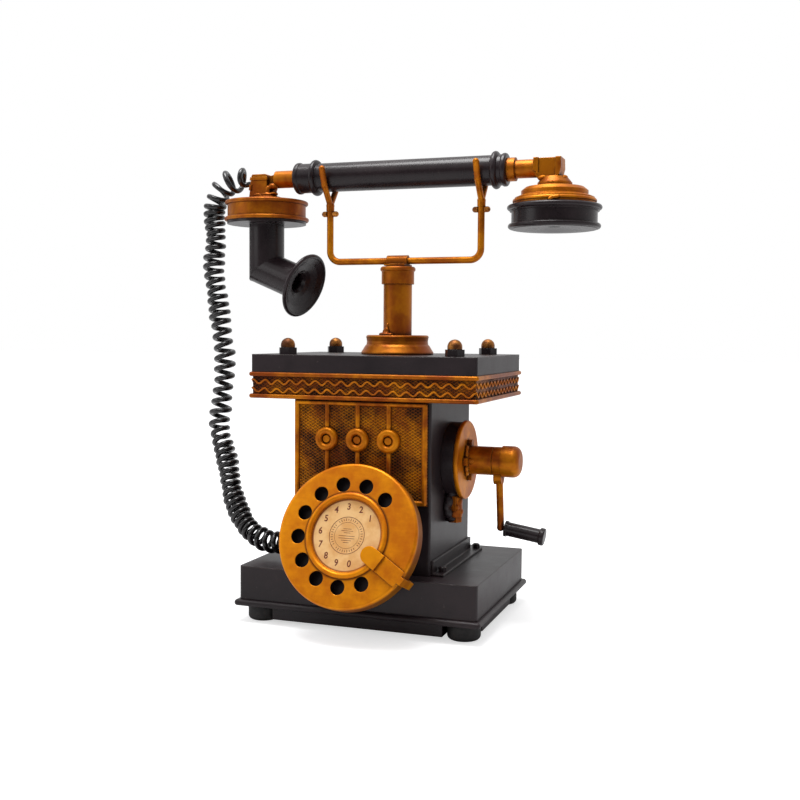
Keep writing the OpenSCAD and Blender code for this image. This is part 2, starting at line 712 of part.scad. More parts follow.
module handle_ferrules() color("#1c1a1b") place() {
    along_hand(-49.3) difference() {
        union() {
            translate([0, 0, -6]) cylinder(d = 16.6, h = 12.2);
            translate([0, 0, -8]) round_disc(8.9, 3.2, 1.2);
            rotate_extrude() translate([bead_d / 2 - 1.7, 3.9]) circle(1.7);
        }
        translate([0, 0, -9]) cylinder(d = 7, h = 20);
    }
    along_hand(57.9) difference() {
        union() {
            cylinder(d = 16.6, h = 7);
            translate([0, 0, 5.5]) round_disc(8.9, 3, 1.2);
            rotate_extrude() translate([bead_d / 2 - 1.7, 2]) circle(1.7);
        }
        translate([0, 0, -1]) cylinder(d = 7, h = 20);
    }
}

module across_hand(x, z, wide) translate([x, hand_y + wide / 2, z]) rotate([90, 0, 0])
    linear_extrude(wide) children();

module handle_stubs() color(gold) place() {
    along_hand(-70.5) cylinder(d = 9.8, h = 13.2);
    along_hand(66.4) {
        cylinder(d = 12.6, h = 4.4);
        cylinder(d = 9.8, h = 16);
    }
    at_mic() translate([0, 0, 233]) {
        cylinder(d1 = 23, d2 = 16, h = 2.2);
        cylinder(d = 12, h = 3);
    }
    across_hand(mic_x - 2.6, 234.8, 10.4)
        polygon([[-6.2, 0], [5.4, 0], [4.8, 12.4], [4.2, 13], [-4, 13], [-4.6, 12.4]]);
    across_hand(mic_x - 2.6, 234.8, 11.6) {
        polygon([[-5.6, 9.6], [5.5, 9.6], [5.4, 11.4], [-5.2, 11.4]]);
        polygon([[-6.2, 4], [-5.7, 7], [-4.3, 7], [-4.6, 4]]);
    }
    across_hand(mic_x - 2.6, 234.8, 5) polygon([[3.5, 12], [7.5, 12.4], [11.5, 14], [11.5, 6.6], [8.6, 6], [6.6, 0],
        [2.8, 0]]);
    translate([mic_x - 9, hand_y, 242.6]) rotate([0, 90, 0]) cylinder(d = 6.4, h = 4);
    at_ear() translate([0, 0, 236.8]) cylinder(d1 = 18.4, d2 = 14, h = 2.6);
    across_hand(88.8, 238.6, 10.6) polygon([[-7.2, 11], [7, 11], [7.2, 6], [6.4, 2], [4.4, -0.6], [-4.6, -0.6], [-6, 1.4],
        [-7.6, 4.6]]);
    across_hand(88.8, 238.6, 12) {
        polygon([[-7.4, 11.3], [-4.8, 11.3], [-4.8, 3.4], [-7.8, 4.8]]);
        polygon([[4.4, 11.3], [7.2, 11.3], [7.4, 6], [6.4, 2], [4.4, 1]]);
    }
    at_ear() translate([0, 0, 238.4]) cylinder(d1 = 15.5, d2 = 13, h = 1.6);
}

module transmitter_case() color(gold) place() at_mic() difference() {
    union() {
        translate([0, 0, 221]) cylinder(r = mic_r - 1.8, h = 11.6);
        translate([0, 0, 221]) round_disc(mic_r, 2.2, 1);
        translate([0, 0, 230.4]) round_disc(mic_r - 0.4, 2.2, 1);
        translate([0, 0, 232.6]) cylinder(d1 = 34, d2 = 24, h = 0.4);
    }
    translate([0, 0, 220]) cylinder(r = mic_r - 3.4, h = 10.6);
}

module transmitter_capsule() color(steel) place() at_mic() translate([0, 0, 222]) {
    cylinder(r = 18, h = 5);
    translate([0, 0, 5]) cylinder(r = 11, h = 3.6);
}

module mitre_half(s) rotate([0, -(90 - mouth_lean) / 2, 0])
    translate([-60, -60, s > 0 ? 0 : -120]) cube([120, 120, 120]);

module mouthpiece_elbow() color(black) place() {
    mouth_place() difference() {
        union() {
            intersection() {
                translate([0, 0, -20]) cylinder(r = elbow_d / 2, h = 221 - mouth_z + 20);
                mitre_half(1);
            }
            intersection() {
                rotate([0, 90 + mouth_lean, 0]) translate([0, 0, -20]) cylinder(r = elbow_d / 2 - 0.15, h = 41);
                mitre_half(-1);
            }
            translate([0, 0, 219.4 - mouth_z]) cylinder(r = mic_r - 1.6, h = 1.6);
        }
        translate([0, 0, -3]) cylinder(r = elbow_d / 2 - 2, h = 60);
        rotate([0, 90 + mouth_lean, 0]) translate([0, 0, -3]) cylinder(r = elbow_d / 2 - 2.4, h = 61);
    }
}

module mouthpiece_flare() color(black) place() mouth_axis() translate([0, 0, 21]) rotate_extrude() {
    outer = [for (k = [0 : 6]) [elbow_d / 2 + (flare_d / 2 - elbow_d / 2 - 0.8) * pow(k / 6, 1.8), k * 7.6 / 6]];
    polygon(concat(outer, [[flare_d / 2 - 2.2, 7.6], [13, 5.9], [8.5, 4.6], [6, 3.2], [5, 1.4], [5, 0]]));
    translate([flare_d / 2 - 1.2, 7.2]) circle(1.2);
}

module receiver_cap() color(gold) place() at_ear() rotate_extrude() difference() {
    union() {
        polygon([[0, 225.4], [21, 225.4], [21, 229], [17.7, 230.4], [17.7, 232.6], [15.5, 234.4],
            [9.2, 235.2], [9.2, 236.8], [0, 236.8]]);
        translate([21, 227.2]) circle(1.2);
        translate([20.2, 225.4]) square([1.6, 1.8]);
    }
    translate([0, 225]) square([17, 5]);
}

module receiver_cup() color(black) place() at_ear() rotate_extrude() difference() {
    union() {
        translate([0, 212.4]) square([22.7, 13]);
        translate([0, 221.8]) square([ear_r - 1.4, 3.2]);
        translate([ear_r - 1.35, 223.8]) circle(1.35);
        translate([0, 213.2]) square([24.5 - 1.4, 1.6]);
        translate([24.5 - 1.4, 214]) circle(1.4);
    }
    translate([0, 215]) square([20, 12]);
    translate([0, 210]) square([3.5, 12]);
    polygon([[0, 211], [0, 214.2], [6, 213.8], [16, 212.4], [16, 211]]);
}

module receiver_unit() color(steel) place() at_ear() {
    translate([0, 0, 217]) cylinder(r = 19, h = 3);
    translate([0, 0, 220]) cylinder(r = 14, h = 8);
}

// Cord

module cord_gland() color("#1c1a1b") place() translate([-body_w / 2, -29, 39.5]) rotate([0, -90, 0])
    difference() {
        union() {
            cylinder(d = 10, h = 2.4);
            cylinder(d = 8, h = 5.8);
        }
        translate([0, 0, -1]) cylinder(d = 3.6, h = 5);
    }

module curly_cord() color("#1c1a1b") place()
    tube_along(smooth_path(cord_route, 3), cord_d / 2, 10, [-1, 0, 0], [1, 0, 0], [0, 1, 0]);

base_pan();
bottom_plate();
feet();
body_case();
body_skirt();
skirt_screws();
front_panel();
ring_bosses();
line_button_1();
line_button_2();
line_button_3();
cornice_trim();
top_slab();
stud_nuts();
acorn_caps();
post_flange();
cradle_post();
post_collar();
cradle_yoke();
cradle_forks();
fork_rivets();
cradle_saddle();
hook_plunger();
hook_spring();
hook_switch();
finger_wheel();
dial_card();
dial_shaft();
pulse_wheel();
dial_spring();
dial_case();
dial_plate();
finger_stop();
dial_stem();
crank_drum();
drum_face();
drum_lug();
bearing_neck();
crank_arm();
crank_cap();
crank_grip();
crank_shaft();
magneto_armature();
magneto_magnets();
magneto_frame();
bell_gongs();
ringer_frame();
clapper();
handle_tube();
handle_ferrules();
handle_stubs();
transmitter_case();
transmitter_capsule();
mouthpiece_elbow();
mouthpiece_flare();
receiver_cap();
receiver_cup();
receiver_unit();
cord_gland();
curly_cord();
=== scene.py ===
import math

import bpy
from mathutils import Euler, Matrix, Vector


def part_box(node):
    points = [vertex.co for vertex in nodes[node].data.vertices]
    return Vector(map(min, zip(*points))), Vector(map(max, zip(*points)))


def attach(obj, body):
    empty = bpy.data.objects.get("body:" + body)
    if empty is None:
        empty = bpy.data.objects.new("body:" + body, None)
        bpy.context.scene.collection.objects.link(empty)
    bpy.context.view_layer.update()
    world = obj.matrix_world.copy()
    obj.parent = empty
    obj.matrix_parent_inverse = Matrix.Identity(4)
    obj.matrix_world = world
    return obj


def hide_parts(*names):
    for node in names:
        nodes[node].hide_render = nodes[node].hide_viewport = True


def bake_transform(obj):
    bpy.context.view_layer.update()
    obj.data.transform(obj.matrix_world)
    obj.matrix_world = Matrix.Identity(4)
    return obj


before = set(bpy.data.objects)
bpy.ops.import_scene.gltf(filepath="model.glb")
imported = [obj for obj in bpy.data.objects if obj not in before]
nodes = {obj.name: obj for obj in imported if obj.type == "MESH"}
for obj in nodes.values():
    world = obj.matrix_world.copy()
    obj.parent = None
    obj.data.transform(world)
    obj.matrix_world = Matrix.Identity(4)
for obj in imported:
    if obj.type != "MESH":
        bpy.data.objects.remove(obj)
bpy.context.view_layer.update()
print("frame loaded,", len(nodes), "parts")

# the housing's own centre line stands here in the shared frame, in millimetres
columnX, columnY = -7.75, 13.5


def at(x, y, z):  # millimetres about the housing's centre line, to metres in the frame
    return Vector(((x + columnX) / 1000, (y + columnY) / 1000, z / 1000))


def clearSelection():
    if bpy.context.object and bpy.context.object.mode != "OBJECT":
        bpy.ops.object.mode_set(mode="OBJECT")
    bpy.ops.object.select_all(action="DESELECT")


def pick(*pieces):
    clearSelection()
    for piece in pieces:
        piece.select_set(True)
    bpy.context.view_layer.objects.active = pieces[0]


def freeze(piece):  # moves a piece's place, turn and size into its mesh
    pick(piece)
    bpy.ops.object.transform_apply(location=True, rotation=True, scale=True)


def joinAs(name, pieces):
    pick(*pieces)
    bpy.ops.object.join()
    joined = bpy.context.object
    joined.name = name
    return joined


viewPoint = {
    "place": (0.1968, -0.5499, 0.1570),
    "down": 3.587,
    "round": 19.318,
    "roll": 0.442,
    "lens": 48.107,
    "sensor": 36,
    "nearest": 0.01,
}


def setCamera():
    camera = bpy.data.cameras.new("camera")
    camera.lens = viewPoint["lens"]
    camera.sensor_width = viewPoint["sensor"]
    camera.clip_start = viewPoint["nearest"]
    holder = bpy.data.objects.new("camera", camera)
    bpy.context.scene.collection.objects.link(holder)
    turn = Euler((math.radians(90 - viewPoint["down"]), 0, math.radians(viewPoint["round"])))
    tilt = Matrix.Rotation(math.radians(viewPoint["roll"]), 4, "Z")
    holder.matrix_world = Matrix.Translation(viewPoint["place"]) @ turn.to_matrix().to_4x4() @ tilt
    bpy.context.scene.camera = holder


setCamera()
print("camera set")

# the cord's numbers are in millimetres, apart from its declared length in metres
curledCord = {
    "route": [(-86, 3, 243), (-97, 4, 246), (-107, 5, 241), (-113, 6, 229), (-112, 6, 212),
              (-113, 5, 195), (-110, 4, 178), (-107, 3, 160), (-104, 2, 139), (-105, 0, 117),
              (-105, -3, 100), (-97, -8, 81), (-90, -14, 62), (-79, -20, 47), (-66, -25, 40.5),
              (-54, -28, 39.5), (-44, -29, 39.5)],
    "routeSteps": 40,
    "wire": 3.0,
    "coilRadius": 4.8,
    # run along the route, and the distance between turns there
    "pitches": [(0, 8.6), (26, 7.2), (36, 3.9), (52, 3.9), (56, 5.2), (78, 5.2), (100, 4.8),
                (108, 6.6), (158, 6.6), (180, 4.2), (200, 3.9), (232, 3.9), (240, 5.8), (300, 5.8)],
    "pitchWander": (0.10, 0.83),  # share of the pitch, and how fast it comes and goes
    "swells": ((0.07, 0.21, 0), (0.04, 0.57, 1)),  # share of the radius, how fast, and from where
    "looseTurns": (17, 0.34),  # how far from the handset they are widest, and how much wider
    "leadIn": 9.0,
    "leadOut": 9.0,
    "slowest": 0.08,  # hardly turns where it is nearly straight
    "longestStep": 0.8,
    "endGap": 0.6,  # no tight kink where the last turn meets the end
    "pointsPerTurn": 22,
    "sides": 10,
    "length": 1.55,
}


def smoothLine(points, steps):
    line = []
    for index in range(len(points) - 1):
        p0 = points[max(index - 1, 0)]
        p1, p2 = points[index], points[index + 1]
        p3 = points[min(index + 2, len(points) - 1)]
        for step in range(steps):
            t = step / steps
            line.append(0.5 * (2 * p1 + (p2 - p0) * t + (2 * p0 - 5 * p1 + 4 * p2 - p3) * t * t
                               + (3 * p1 - p0 - 3 * p2 + p3) * t ** 3))
    line.append(points[-1])
    return line


def between(table, where):
    for (a, low), (b, high) in zip(table, table[1:]):
        if where <= b:
            return low + (high - low) * max(where - a, 0) / (b - a)
    return table[-1][1]


def carriedAxes(line):  # a pair of directions carried along a line without twisting about it
    heading = (line[1] - line[0]).normalized()
    across = heading.cross(Vector((0, 1, 0))).normalized()
    axes = []
    for index in range(len(line)):
        ahead = line[min(index + 1, len(line) - 1)] - line[max(index - 1, 0)]
        ahead.normalize()
        across = (across - ahead * across.dot(ahead)).normalized()
        axes.append((across.copy(), ahead.cross(across)))
    return axes


def coilPath():
    line = smoothLine([Vector(p) for p in curledCord["route"]], curledCord["routeSteps"])
    runs = [0.0]
    for a, b in zip(line, line[1:]):
        runs.append(runs[-1] + (b - a).length)
    total = runs[-1]
    axes = carriedAxes(line)
    widest, wider = curledCord["looseTurns"]
    wander, wanderRate = curledCord["pitchWander"]
    path, run, turn, index = [], 0.0, 0.0, 0
    while run < total:
        while index < len(runs) - 2 and runs[index + 1] < run:
            index += 1
        share = (run - runs[index]) / (runs[index + 1] - runs[index])
        middle = line[index].lerp(line[index + 1], share)
        one, other = axes[index]
        rise = min(run / curledCord["leadIn"], (total - run) / curledCord["leadOut"], 1.0)
        rise = rise * rise * (3 - 2 * rise)
        swell = 1
        for much, fast, start in curledCord["swells"]:
            swell += much * math.sin(run * fast + start)
        swell += wider * max(0.0, 1 - abs(run - widest) / widest)
        radius = curledCord["coilRadius"] * rise * swell
        angle = turn * 2 * math.pi
        path.append(middle + (one * math.cos(angle) + other * math.sin(angle)) * radius)
        pitch = between(curledCord["pitches"], run)
        pitch *= (1 + wander * math.sin(run * wanderRate)) / max(rise, curledCord["slowest"])
        step = min(1 / curledCord["pointsPerTurn"], curledCord["longestStep"] / pitch)
        run += pitch * step
        turn += step
    while (path[-1] - line[-1]).length < curledCord["endGap"]:
        path.pop()
    path.append(line[-1])
    return [at(*p) for p in path]


tubeWork = {"mergeGap": 0.000001, "smoothAngle": 40}


def sweptTube(name, path, radius, sides, closed=False):  # a round bar along the points
    curve = bpy.data.curves.new(name, "CURVE")
    curve.dimensions = "3D"
    curve.bevel_depth = radius
    curve.bevel_resolution = max(0, sides // 2 - 2)
    curve.use_fill_caps = not closed
    spline = curve.splines.new("POLY")
    spline.points.add(len(path) - 1)
    for point, place in zip(spline.points, path):
        point.co = (*place, 1)
    spline.use_cyclic_u = closed
    made = bpy.data.objects.new(name, curve)
    bpy.context.scene.collection.objects.link(made)
    pick(made)
    bpy.ops.object.convert(target="MESH")
    made = bpy.context.object
    bpy.ops.object.mode_set(mode="EDIT")
    bpy.ops.mesh.select_all(action="SELECT")
    bpy.ops.mesh.remove_doubles(threshold=tubeWork["mergeGap"])
    bpy.ops.mesh.normals_make_consistent(inside=False)
    bpy.ops.object.mode_set(mode="OBJECT")
    bpy.ops.object.shade_smooth_by_angle(angle=math.radians(tubeWork["smoothAngle"]))
    return made


def makeCord():
    path = coilPath()
    length = sum((b - a).length for a, b in zip(path, path[1:]))
    print("cord runs", round(length, 4), "m with", len(path), "points")
    cord = sweptTube("curledCord", path, curledCord["wire"] / 2000, curledCord["sides"])
    at(-105, 0, 70)
    at(-105, 0, 228)
    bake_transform(cord)
    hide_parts("curly_cord")
    path.reverse()  # it leaves the housing at the gland and ends at the transmitter
    return cord


cord = makeCord()
print("cord made")


class shadeValue:  # a socket that can stand in a sum
    def __init__(self, paint, socket):
        self.paint = paint
        self.socket = socket

    def maths(self, operation, first, second):
        return self.paint.node("ShaderNodeMath", {"operation": operation}, {0: first, 1: second})

    def __add__(self, other):
        return self.maths("ADD", self, other)

    def __radd__(self, other):
        return self.maths("ADD", other, self)

    def __sub__(self, other):
        return self.maths("SUBTRACT", self, other)

    def __rsub__(self, other):
        return self.maths("SUBTRACT", other, self)

    def __mul__(self, other):
        return self.maths("MULTIPLY", self, other)

    def __rmul__(self, other):
        return self.maths("MULTIPLY", other, self)

    def __pow__(self, other):
        return self.maths("POWER", self, other)

    def most(self, other):
        return self.maths("MAXIMUM", self, other)

    def wave(self):
        return self.paint.node("ShaderNodeMath", {"operation": "SINE"}, {0: self})

    def fade(self, low, high):  # smooth step from 0 to 1 between two values
        return self.paint.node("ShaderNodeMapRange", {"interpolation_type": "SMOOTHSTEP"},
                               {0: self, 1: low, 2: high, 3: 0.0, 4: 1.0})


def tint(red, green, blue):  # screen colour, 0 to 255, to the renderer's
    def straight(value):
        value /= 255
        return value / 12.92 if value <= 0.04045 else ((value + 0.055) / 1.055) ** 2.4
    return (straight(red), straight(green), straight(blue), 1.0)


class paintMix:
    def __init__(self, name):
        self.material = bpy.data.materials.new(name)
        self.material.use_nodes = True
        self.tree = self.material.node_tree
        self.tree.nodes.clear()
        self.shader = self.tree.nodes.new("ShaderNodeBsdfPrincipled")
        end = self.tree.nodes.new("ShaderNodeOutputMaterial")
        self.tree.links.new(self.shader.outputs[0], end.inputs["Surface"])
        self.place = self.node("ShaderNodeTexCoord", output="Object")

    def node(self, kind, settings=None, inputs=None, output=0):
        made = self.tree.nodes.new(kind)
        for name, value in (settings or {}).items():
            setattr(made, name, value)
        for name, value in (inputs or {}).items():
            self.feed(made.inputs[name], value)
        return shadeValue(self, made.outputs[output])

    def feed(self, socket, value):
        if isinstance(value, shadeValue):
            self.tree.links.new(value.socket, socket)
        else:
            socket.default_value = value

    def set(self, **values):  # straight onto the shader
        for name, value in values.items():
            self.feed(self.shader.inputs[name.replace("_", " ")], value)
        return self.material

    def mixed(self, amount, first, second):
        return self.node("ShaderNodeMix", {"data_type": "RGBA", "blend_type": "MIX"},
                         {0: amount, 6: first, 7: second}, 2)

    def grain(self, size, detail=4.0, rough=0.55, stretch=(1, 1, 1), shift=(0, 0, 0)):
        # the size is in metres
        where = self.node("ShaderNodeMapping", None,
                          {"Vector": self.place, "Scale": tuple(1 / s for s in stretch),
                           "Location": shift})
        return self.node("ShaderNodeTexNoise", None,
                         {"Vector": where, "Scale": 1 / size, "Detail": detail,
                          "Roughness": rough})

    def axes(self):
        parts = self.node("ShaderNodeSeparateXYZ", None, {0: self.place})
        return [shadeValue(self, output) for output in parts.socket.node.outputs]

    def crevice(self, reach):  # 0 in a tight corner, 1 in the open
        return self.node("ShaderNodeAmbientOcclusion", {"samples": 8}, {"Distance": reach}, "AO")

    def roundedEdges(self, radius):
        return self.node("ShaderNodeBevel", {"samples": 4}, {"Radius": radius})

    def edges(self, soft):  # 1 on a sharp edge
        flat = self.node("ShaderNodeNewGeometry", output="Normal")
        match = self.node("ShaderNodeVectorMath", {"operation": "DOT_PRODUCT"},
                          {0: soft, 1: flat}, "Value")
        return (1 - match).fade(0.004, 0.09)

    def bump(self, height, depth, strength, normal=None):
        inputs = {"Height": height, "Distance": depth, "Strength": strength}
        if normal is not None:
            inputs["Normal"] = normal
        return self.node("ShaderNodeBump", None, inputs)


# the dial's face, in millimetres and degrees
dialFace = {
    "centre": (2.4, -67.3, 54.8),
    "lean": 20.7,
    "cardFace": -0.68,
    "cardStainAndShadow": (18.6, 17.6),
    "digits": "1234567890",
    "firstAngle": 39.0,
    "step": 27.1,
    "digitRadius": 14.7,
    "digitHeight": 4.7,
    "digitWidth": 0.92,
    "digitWeight": 0.10,
    "digitThick": 0.01,
    "ringRadii": ((9.45, 0.14), (6.7, 0.07)),
    "ringPoints": 72,
    "lines": ((3.3, 4.4), (2.3, 6.4), (1.3, 3.6), (-0.3, 8.6), (-1.5, 8.6), (-2.6, 5.4),
              (-3.7, 3.2)),  # height and length
    "lineWide": 0.22,
    "ticks": 40,
    "tickRadius": 8.1,
    "tickLengths": (0.9, 1.3),
    "tickWide": 0.28,
    "markThick": 0.04,
}


def dialSpot(paint):  # how far a point is from the dial's axis, and how high above its face
    x, y, z = paint.axes()
    middle, lean = at(*dialFace["centre"]), math.radians(dialFace["lean"])
    across, back, rise = x - middle.x, y - middle.y, z - middle.z
    up = back * math.sin(lean) + rise * math.cos(lean)
    out = rise * math.sin(lean) - back * math.cos(lean)
    return (across * across + up * up) ** 0.5, out


# painted shade inside the finger holes, in the grooves beside the middle ring and under the rim:
# each fades in from the first value to the second, in metres from the axis or above the face
wheelShade = {
    "boreDepth": (-0.0002, -0.0007),
    "boreOuter": (0.0345, 0.0335),
    "boreInner": (0.0190, 0.0195),
    "grooveOuter": (0.0236, 0.0222),
    "grooveInner": (0.0214, 0.0222),
    "grooveDepth": (0.0004, 0.0001),
    "groove": 0.8,
    "rimDepth": (-0.0006, -0.0040),
    "rimOuter": (0.034, 0.035),
    "rim": 0.62,
}


def wheelShading(paint):
    away, out = dialSpot(paint)
    bores = out.fade(*wheelShade["boreDepth"]) * away.fade(*wheelShade["boreOuter"])
    bores = bores * away.fade(*wheelShade["boreInner"])
    groove = away.fade(*wheelShade["grooveOuter"]) * away.fade(*wheelShade["grooveInner"])
    groove = groove * out.fade(*wheelShade["grooveDepth"]) * wheelShade["groove"]
    rim = out.fade(*wheelShade["rimDepth"]) * away.fade(*wheelShade["rimOuter"]) * wheelShade["rim"]
    return bores, groove, rim


# woven screen on the panel and round the cornice, in millimetres
screenWork = {
    "pitch": 1.45,
    "slant": 0.62,
    "tight": 0.85,
    "wander": 2.6,
    "wanderSize": 5.0,
    "panelFace": -27.78,
    "panelEdge": 0.1,
    "bandLow": 123.6,
    "bandHigh": 133.2,
    "bandEdge": 0.2,
}


def diamonds(paint):  # raised wires crossing on the slant, the same on every upright side
    x, y, z = paint.axes()
    along = (x + y) * screenWork["slant"]
    turns = 2 * math.pi / (screenWork["pitch"] / 1000)
    wobble = paint.grain(screenWork["wanderSize"] / 1000, 3, 0.6) * screenWork["wander"]
    one = ((along + z) * turns * screenWork["tight"] + wobble).wave()
    other = ((along - z) * turns * screenWork["tight"] + wobble).wave()
    return one.most(other).fade(0.25, 0.95)


def panelScreen(paint):
    face, edge = screenWork["panelFace"] / 1000, screenWork["panelEdge"] / 1000
    return diamonds(paint), paint.axes()[1].fade(face - edge, face)


def bandScreen(paint):
    height, edge = paint.axes()[2], screenWork["bandEdge"] / 1000
    low, high = screenWork["bandLow"] / 1000, screenWork["bandHigh"] / 1000
    field = height.fade(low - edge, low + edge) * height.fade(high + edge, high - edge)
    return diamonds(paint), field


goldTones = {
    "bright": tint(234, 146, 5),
    "middle": tint(204, 108, 4),
    "deep": tint(118, 46, 6),
    "umber": tint(24, 13, 10),
    "worn": tint(238, 150, 30),
    "metal": 0.55,
    "rough": 0.30,
    "specular": 0.25,
}


def antiqueGold(name, bright, creviceShade, edge, reach, streak, dark=0.0, screen=None, wheel=False):
    paint = paintMix(name)
    broad = paint.grain(0.030, 3, 0.5)
    brushed = paint.grain(0.0026, 5, 0.62, stretch=streak, shift=(0.3, 0.1, 0.7))
    fine = paint.grain(0.0007, 3, 0.6)
    soft = paint.roundedEdges(edge)
    mottle = paint.grain(0.008, 4, 0.6, shift=(0.8, 0.4, 0.2))
    tone = (broad * 0.45 + mottle * 0.4 + brushed * 0.15).fade(0.36, 0.64)
    colour = paint.mixed(tone, goldTones["middle"], goldTones["bright"])
    patches = (broad * 0.6 + mottle * 0.4).fade(0.60, 0.40) * (1 - bright)
    colour = paint.mixed(patches, colour, goldTones["deep"])
    if dark:
        colour = paint.mixed(dark, colour, goldTones["deep"])
    # painted shade: corners and gaps beside other parts are darkened towards umber by how closed in
    # they are
    openness = paint.crevice(reach)
    shadeAndDirt = (openness + (fine - 0.5) * 0.35).fade(0.86, 0.42) * creviceShade
    normal = paint.bump(brushed * 0.4 + fine * 0.25, 0.0004, 0.35, soft)
    if screen is not None:
        mesh, field = screen(paint)
        # painted shade between the raised wires of the screen, with random dark blotches over the
        # screened field
        pits = (1 - mesh) * field
        blotch = paint.grain(0.014, 3, 0.6, shift=(0.4, 0.2, 0.9)).fade(0.38, 0.62)
        shadeAndDirt = shadeAndDirt.most(pits * (0.65 + blotch * 0.35))
        shadeAndDirt = shadeAndDirt.most(field * blotch * 0.62)
        normal = paint.bump(mesh * field, 0.0006, 0.9, normal)
    if wheel:
        # painted shade on the bore walls of the finger holes, in the groove by the middle ring and
        # on the rim's side wall
        bores, groove, rim = wheelShading(paint)
        shadeAndDirt = shadeAndDirt.most(bores).most(groove * (mottle + 0.2).fade(0.3, 0.7)).most(rim)
    worn = paint.edges(soft) * (fine + 0.25).fade(0.5, 0.85) * openness.fade(0.7, 0.95)
    colour = paint.mixed(worn * 0.55, colour, goldTones["worn"])
    colour = paint.mixed(shadeAndDirt, colour, goldTones["umber"])
    return paint.set(Base_Color=colour, Metallic=goldTones["metal"],
                     Roughness=goldTones["rough"] + brushed * 0.16 + shadeAndDirt * 0.25,
                     Normal=normal, Specular_IOR_Level=goldTones["specular"])


blackTones = {
    "body": tint(29, 21, 24),
    "light": tint(43, 33, 36),
    "rubbed": tint(80, 67, 64),
    "dust": tint(96, 85, 79),
    "specular": 0.3,
}


def satinBlack(name, rough, edge, rub, dust=0.25, sheen=0.04, uneven=0.22):
    paint = paintMix(name)
    broad = paint.grain(0.045, 3, 0.5)
    cloud = paint.grain(0.012, 4, 0.6, shift=(0.2, 0.5, 0.1))
    fine = paint.grain(0.0006, 3, 0.65)
    specks = paint.grain(0.0016, 2, 0.5, shift=(0.7, 0.2, 0.4)).fade(0.70, 0.76)
    soft = paint.roundedEdges(edge)
    tone = (broad * 0.6 + cloud * 0.4).fade(0.35, 0.65)
    colour = paint.mixed(tone, blackTones["body"], blackTones["light"])
    colour = paint.mixed(specks * dust, colour, blackTones["dust"])
    rubbed = paint.edges(soft) * (cloud + fine * 0.5).fade(0.55, 0.95) * rub
    colour = paint.mixed(rubbed, colour, blackTones["rubbed"])
    scratches = paint.grain(0.0020, 2, 0.5, stretch=(14, 1, 1), shift=(0.1, 0.9, 0.3))
    scratches = scratches.fade(0.66, 0.74)
    normal = paint.bump(fine * 0.5 + cloud * 0.8 - scratches * 0.3, 0.00035, uneven, soft)
    return paint.set(Base_Color=colour, Roughness=rough + cloud * 0.14 - 0.07 + scratches * 0.08,
                     Normal=normal, Specular_IOR_Level=blackTones["specular"],
                     Coat_Weight=sheen, Coat_Roughness=0.16)


def agedBrass(name, shade=0.5, tarnish=0.0):
    paint = paintMix(name)
    cloud = paint.grain(0.006, 5, 0.65)
    fine = paint.grain(0.0008, 3, 0.6)
    soft = paint.roundedEdges(0.0003)
    colour = paint.mixed(cloud.fade(0.38, 0.62), tint(214, 140, 60), tint(120, 66, 26))
    # painted shade: corners are darkened by how closed in they are, as strong as shade
    shadeAndDirt = (paint.crevice(0.003) + (fine - 0.5) * 0.4).fade(0.9, 0.45)
    colour = paint.mixed(shadeAndDirt * shade + cloud.fade(0.58, 0.72) * 0.4, colour, tint(40, 26, 20))
    colour = paint.mixed((cloud * 0.5 + 0.75) * tarnish, colour, tint(52, 36, 26))
    return paint.set(Base_Color=colour, Metallic=0.75, Roughness=0.34 + cloud * 0.2,
                     Normal=paint.bump(fine, 0.0002, 0.25, soft))


def plainSteel(name, colour=(120, 122, 126), rough=0.32, metal=0.9, streak=(1, 1, 8)):
    paint = paintMix(name)
    lines = paint.grain(0.0009, 4, 0.6, stretch=streak)
    cloud = paint.grain(0.010, 4, 0.6)
    dull = tint(*(c * 0.6 for c in colour))
    shade = paint.mixed(cloud.fade(0.35, 0.7) * 0.7, tint(*colour), dull)
    return paint.set(Base_Color=shade, Metallic=metal, Roughness=rough + lines * 0.16,
                     Normal=paint.bump(lines, 0.0001, 0.3, paint.roundedEdges(0.0003)))


def copperWinding(name):
    paint = paintMix(name)
    turns = paint.node("ShaderNodeTexWave", {"bands_direction": "X"},
                       {"Vector": paint.place, "Scale": 400.0, "Distortion": 0.4, "Detail": 1.0})
    shade = paint.mixed(turns, tint(96, 44, 20), tint(196, 104, 54))
    return paint.set(Base_Color=shade, Metallic=0.6, Roughness=0.3 + turns * 0.1,
                     Normal=paint.bump(turns, 0.0003, 0.7))


def creamCard(name):
    paint = paintMix(name)
    fibre = paint.grain(0.0005, 4, 0.7)
    cloud = paint.grain(0.009, 4, 0.6, shift=(0.5, 0.3, 0.2))
    edge = dialSpot(paint)[0].fade(*(radius / 1000 for radius in dialFace["cardStainAndShadow"]))
    shade = paint.mixed(cloud.fade(0.35, 0.65), tint(236, 190, 128), tint(220, 162, 94))
    # the card darkens towards its rim: partly aged staining, partly painted shadow cast by the ring
    # round it
    stainAndShadow = (edge + (cloud - 0.5) * 0.3).fade(0.92, 0.4) * 0.9
    shade = paint.mixed(stainAndShadow, shade, tint(160, 82, 26))
    return paint.set(Base_Color=shade, Roughness=0.62 + fibre * 0.15,
                     Normal=paint.bump(fibre, 0.0001, 0.3))


def printInk(name):
    paint = paintMix(name)
    fade = paint.grain(0.0007, 3, 0.6)
    shade = paint.mixed(fade.fade(0.45, 0.7) * 0.5, tint(98, 28, 10), tint(160, 84, 38))
    return paint.set(Base_Color=shade, Roughness=0.55 + fade * 0.2,
                     Normal=paint.bump(fade, 0.00005, 0.2))


def insulatingBoard(name):
    paint = paintMix(name)
    cloth = paint.grain(0.0006, 3, 0.6, stretch=(3, 1, 1))
    cloud = paint.grain(0.006, 3, 0.6)
    shade = paint.mixed(cloud.fade(0.3, 0.7), tint(92, 46, 24), tint(58, 30, 18))
    return paint.set(Base_Color=shade, Roughness=0.45 + cloth * 0.2,
                     Normal=paint.bump(cloth, 0.0001, 0.3, paint.roundedEdges(0.0003)))


